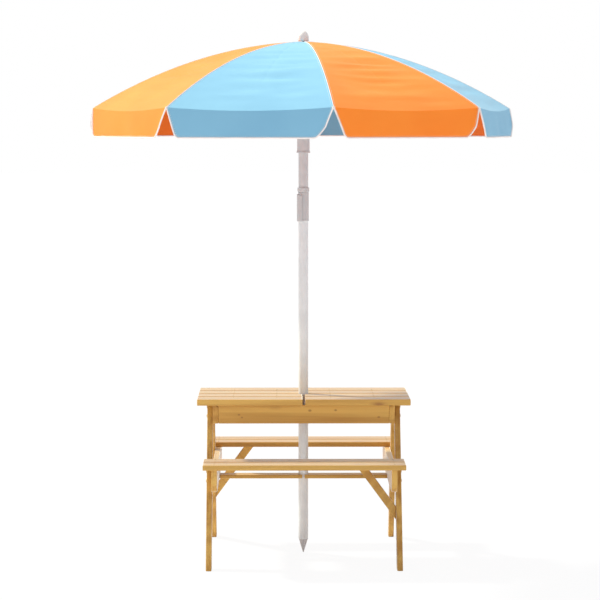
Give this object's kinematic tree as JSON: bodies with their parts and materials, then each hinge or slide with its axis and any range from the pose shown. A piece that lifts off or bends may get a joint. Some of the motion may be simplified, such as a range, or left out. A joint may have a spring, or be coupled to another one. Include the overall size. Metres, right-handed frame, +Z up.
{
  "type": "picnic table with sandbox",
  "caption": "Children's wooden A-frame picnic table with benches, lift-off split top over sandbox bins, and a tilting, folding umbrella through the middle.",
  "frame": {"origin": "on the umbrella pole's axis, at the level of the feet, in the middle of the table", "axes": "+X along the table, +Y to the rear bench, +Z up"},
  "size_m": [1.3778, 1.3778, 1.7198],
  "materials": {
    "pine": "clear-coated softwood",
    "bin_plastic": "moulded",
    "pole_paint": "powder coat",
    "joint_plastic": "moulded",
    "orange_cloth": "woven polyester",
    "blue_cloth": "woven polyester"
  },
  "bodies": {
    "table": {"leg_front_left": "pine", "leg_front_right": "pine", "leg_rear_left": "pine", "leg_rear_right": "pine", "bearer_left": "pine", "bearer_right": "pine", "centre_stretcher": "pine", "brace_front_right": "pine", "brace_rear_left": "pine", "sandbox_front": "pine", "sandbox_rear": "pine", "sandbox_end_left": "pine", "sandbox_end_right": "pine", "well_divider_left": "pine", "well_divider_right": "pine", "seat_slat_front_1": "pine", "seat_slat_front_2": "pine", "seat_slat_rear_1": "pine", "seat_slat_rear_2": "pine"},
    "top_left": {"top_slat_left_1": "pine", "top_slat_left_2": "pine", "top_slat_left_3": "pine", "top_slat_left_4": "pine", "top_batten_left_inner": "pine", "top_batten_left_outer": "pine"},
    "top_right": {"top_slat_right_1": "pine", "top_slat_right_2": "pine", "top_slat_right_3": "pine", "top_slat_right_4": "pine", "top_batten_right_inner": "pine", "top_batten_right_outer": "pine"},
    "bin_left": {"sand_bin_left": "bin_plastic"},
    "bin_right": {"sand_bin_right": "bin_plastic"},
    "umbrella_base": {"ground_spike": "joint_plastic", "lower_pole": "pole_paint", "tilt_socket": "joint_plastic"},
    "lever": {"tilt_lever": "joint_plastic"},
    "mast": {"tilt_head": "joint_plastic", "upper_pole": "pole_paint", "crown": "joint_plastic", "canopy_orange": "orange_cloth", "canopy_blue": "blue_cloth"},
    "runner": {"runner": "joint_plastic"},
    "catch": {"runner_catch": "joint_plastic"},
    "rib_1": {"rib_1": "pole_paint"},
    "rib_2": {"rib_2": "pole_paint"},
    "rib_3": {"rib_3": "pole_paint"},
    "rib_4": {"rib_4": "pole_paint"},
    "rib_5": {"rib_5": "pole_paint"},
    "rib_6": {"rib_6": "pole_paint"},
    "rib_7": {"rib_7": "pole_paint"},
    "rib_8": {"rib_8": "pole_paint"},
    "stretcher_1": {"stretcher_1": "pole_paint"},
    "stretcher_2": {"stretcher_2": "pole_paint"},
    "stretcher_3": {"stretcher_3": "pole_paint"},
    "stretcher_4": {"stretcher_4": "pole_paint"},
    "stretcher_5": {"stretcher_5": "pole_paint"},
    "stretcher_6": {"stretcher_6": "pole_paint"},
    "stretcher_7": {"stretcher_7": "pole_paint"},
    "stretcher_8": {"stretcher_8": "pole_paint"}
  },
  "joints": [
    {"name": "top_left_lift", "type": "slide", "parent": "table", "child": "top_left", "axis": [0, 0, 1], "range_m": [0, 0.3]},
    {"name": "bin_left_lift", "type": "slide", "parent": "table", "child": "bin_left", "axis": [0, 0, 1], "range_m": [0, 0.151]},
    {"name": "top_right_lift", "type": "slide", "parent": "table", "child": "top_right", "axis": [0, 0, 1], "range_m": [0, 0.3]},
    {"name": "bin_right_lift", "type": "slide", "parent": "table", "child": "bin_right", "axis": [0, 0, 1], "range_m": [0, 0.151]},
    {"name": "umbrella_lift", "type": "slide", "parent": "table", "child": "umbrella_base", "axis": [0, 0, 1], "range_m": [0, 0.56]},
    {"name": "umbrella_tilt", "type": "hinge", "parent": "umbrella_base", "child": "mast", "pos_m": [-0.008, 0, 1.184], "axis": [0, 1, 0], "range_deg": [-30, 0]},
    {"name": "tilt_lever_flip", "type": "hinge", "parent": "umbrella_base", "child": "lever", "pos_m": [-0.01501, -0.01352, 1.1828], "axis": [-0.6691, 0.7431, 0], "range_deg": [0, 40]},
    {"name": "runner_slide", "type": "slide", "parent": "mast", "child": "runner", "axis": [0, 0, -1], "range_m": [0, 0.10788], "deforming": ["canopy_orange", "canopy_blue"]},
    {"name": "runner_catch_press", "type": "slide", "parent": "runner", "child": "catch", "axis": [0, -1, 0], "range_m": [0, 0.002], "stiffness_N_per_m": 150},
    {"name": "rib_1_fold", "type": "hinge", "parent": "mast", "child": "rib_1", "pos_m": [0.00268, -0.02184, 1.665], "axis": [0.9925, 0.1219, 0], "range_deg": [0, 65.2]},
    {"name": "rib_2_fold", "type": "hinge", "parent": "mast", "child": "rib_2", "pos_m": [0.01734, -0.01354, 1.665], "axis": [0.6157, 0.788, 0], "range_deg": [0, 65.2]},
    {"name": "rib_3_fold", "type": "hinge", "parent": "mast", "child": "rib_3", "pos_m": [0.02184, 0.00268, 1.665], "axis": [-0.1219, 0.9925, 0], "range_deg": [0, 65.2]},
    {"name": "rib_4_fold", "type": "hinge", "parent": "mast", "child": "rib_4", "pos_m": [0.01354, 0.01734, 1.665], "axis": [-0.788, 0.6157, 0], "range_deg": [0, 65.2]},
    {"name": "rib_5_fold", "type": "hinge", "parent": "mast", "child": "rib_5", "pos_m": [-0.00268, 0.02184, 1.665], "axis": [-0.9925, -0.1219, 0], "range_deg": [0, 65.2]},
    {"name": "rib_6_fold", "type": "hinge", "parent": "mast", "child": "rib_6", "pos_m": [-0.01734, 0.01354, 1.665], "axis": [-0.6157, -0.788, 0], "range_deg": [0, 65.2]},
    {"name": "rib_7_fold", "type": "hinge", "parent": "mast", "child": "rib_7", "pos_m": [-0.02184, -0.00268, 1.665], "axis": [0.1219, -0.9925, 0], "range_deg": [0, 65.2]},
    {"name": "rib_8_fold", "type": "hinge", "parent": "mast", "child": "rib_8", "pos_m": [-0.01354, -0.01734, 1.665], "axis": [0.788, -0.6157, 0], "range_deg": [0, 65.2]},
    {"name": "stretcher_1_fold", "type": "hinge", "parent": "runner", "child": "stretcher_1", "pos_m": [0.00786, -0.02624, 1.379], "axis": [-0.9925, -0.1219, 0], "range_deg": [0, 12.8]},
    {"name": "stretcher_2_fold", "type": "hinge", "parent": "runner", "child": "stretcher_2", "pos_m": [0.02411, -0.013, 1.379], "axis": [-0.6157, -0.788, 0], "range_deg": [0, 12.8]},
    {"name": "stretcher_3_fold", "type": "hinge", "parent": "runner", "child": "stretcher_3", "pos_m": [0.02624, 0.00786, 1.379], "axis": [0.1219, -0.9925, 0], "range_deg": [0, 12.8]},
    {"name": "stretcher_4_fold", "type": "hinge", "parent": "runner", "child": "stretcher_4", "pos_m": [0.013, 0.02411, 1.379], "axis": [0.788, -0.6157, 0], "range_deg": [0, 12.8]},
    {"name": "stretcher_5_fold", "type": "hinge", "parent": "runner", "child": "stretcher_5", "pos_m": [-0.00786, 0.02624, 1.379], "axis": [0.9925, 0.1219, 0], "range_deg": [0, 12.8]},
    {"name": "stretcher_6_fold", "type": "hinge", "parent": "runner", "child": "stretcher_6", "pos_m": [-0.02411, 0.013, 1.379], "axis": [0.6157, 0.788, 0], "range_deg": [0, 12.8]},
    {"name": "stretcher_7_fold", "type": "hinge", "parent": "runner", "child": "stretcher_7", "pos_m": [-0.02624, -0.00786, 1.379], "axis": [-0.1219, 0.9925, 0], "range_deg": [0, 12.8]},
    {"name": "stretcher_8_fold", "type": "hinge", "parent": "runner", "child": "stretcher_8", "pos_m": [-0.013, -0.02411, 1.379], "axis": [-0.788, 0.6157, 0], "range_deg": [0, 12.8]}
  ],
  "couplings": [
    {"joint": "bin_left_lift", "follows": "top_left_lift", "ratio": 0.5},
    {"joint": "bin_right_lift", "follows": "top_right_lift", "ratio": 0.5},
    {"joint": "rib_1_fold", "follows": "runner_slide", "rad_per_m": 10.516},
    {"joint": "rib_2_fold", "follows": "runner_slide", "rad_per_m": 10.516},
    {"joint": "rib_3_fold", "follows": "runner_slide", "rad_per_m": 10.516},
    {"joint": "rib_4_fold", "follows": "runner_slide", "rad_per_m": 10.516},
    {"joint": "rib_5_fold", "follows": "runner_slide", "rad_per_m": 10.516},
    {"joint": "rib_6_fold", "follows": "runner_slide", "rad_per_m": 10.516},
    {"joint": "rib_7_fold", "follows": "runner_slide", "rad_per_m": 10.516},
    {"joint": "rib_8_fold", "follows": "runner_slide", "rad_per_m": 10.516},
    {"joint": "stretcher_1_fold", "follows": "runner_slide", "rad_per_m": 2.0434},
    {"joint": "stretcher_2_fold", "follows": "runner_slide", "rad_per_m": 2.0434},
    {"joint": "stretcher_3_fold", "follows": "runner_slide", "rad_per_m": 2.0434},
    {"joint": "stretcher_4_fold", "follows": "runner_slide", "rad_per_m": 2.0434},
    {"joint": "stretcher_5_fold", "follows": "runner_slide", "rad_per_m": 2.0434},
    {"joint": "stretcher_6_fold", "follows": "runner_slide", "rad_per_m": 2.0434},
    {"joint": "stretcher_7_fold", "follows": "runner_slide", "rad_per_m": 2.0434},
    {"joint": "stretcher_8_fold", "follows": "runner_slide", "rad_per_m": 2.0434}
  ]
}
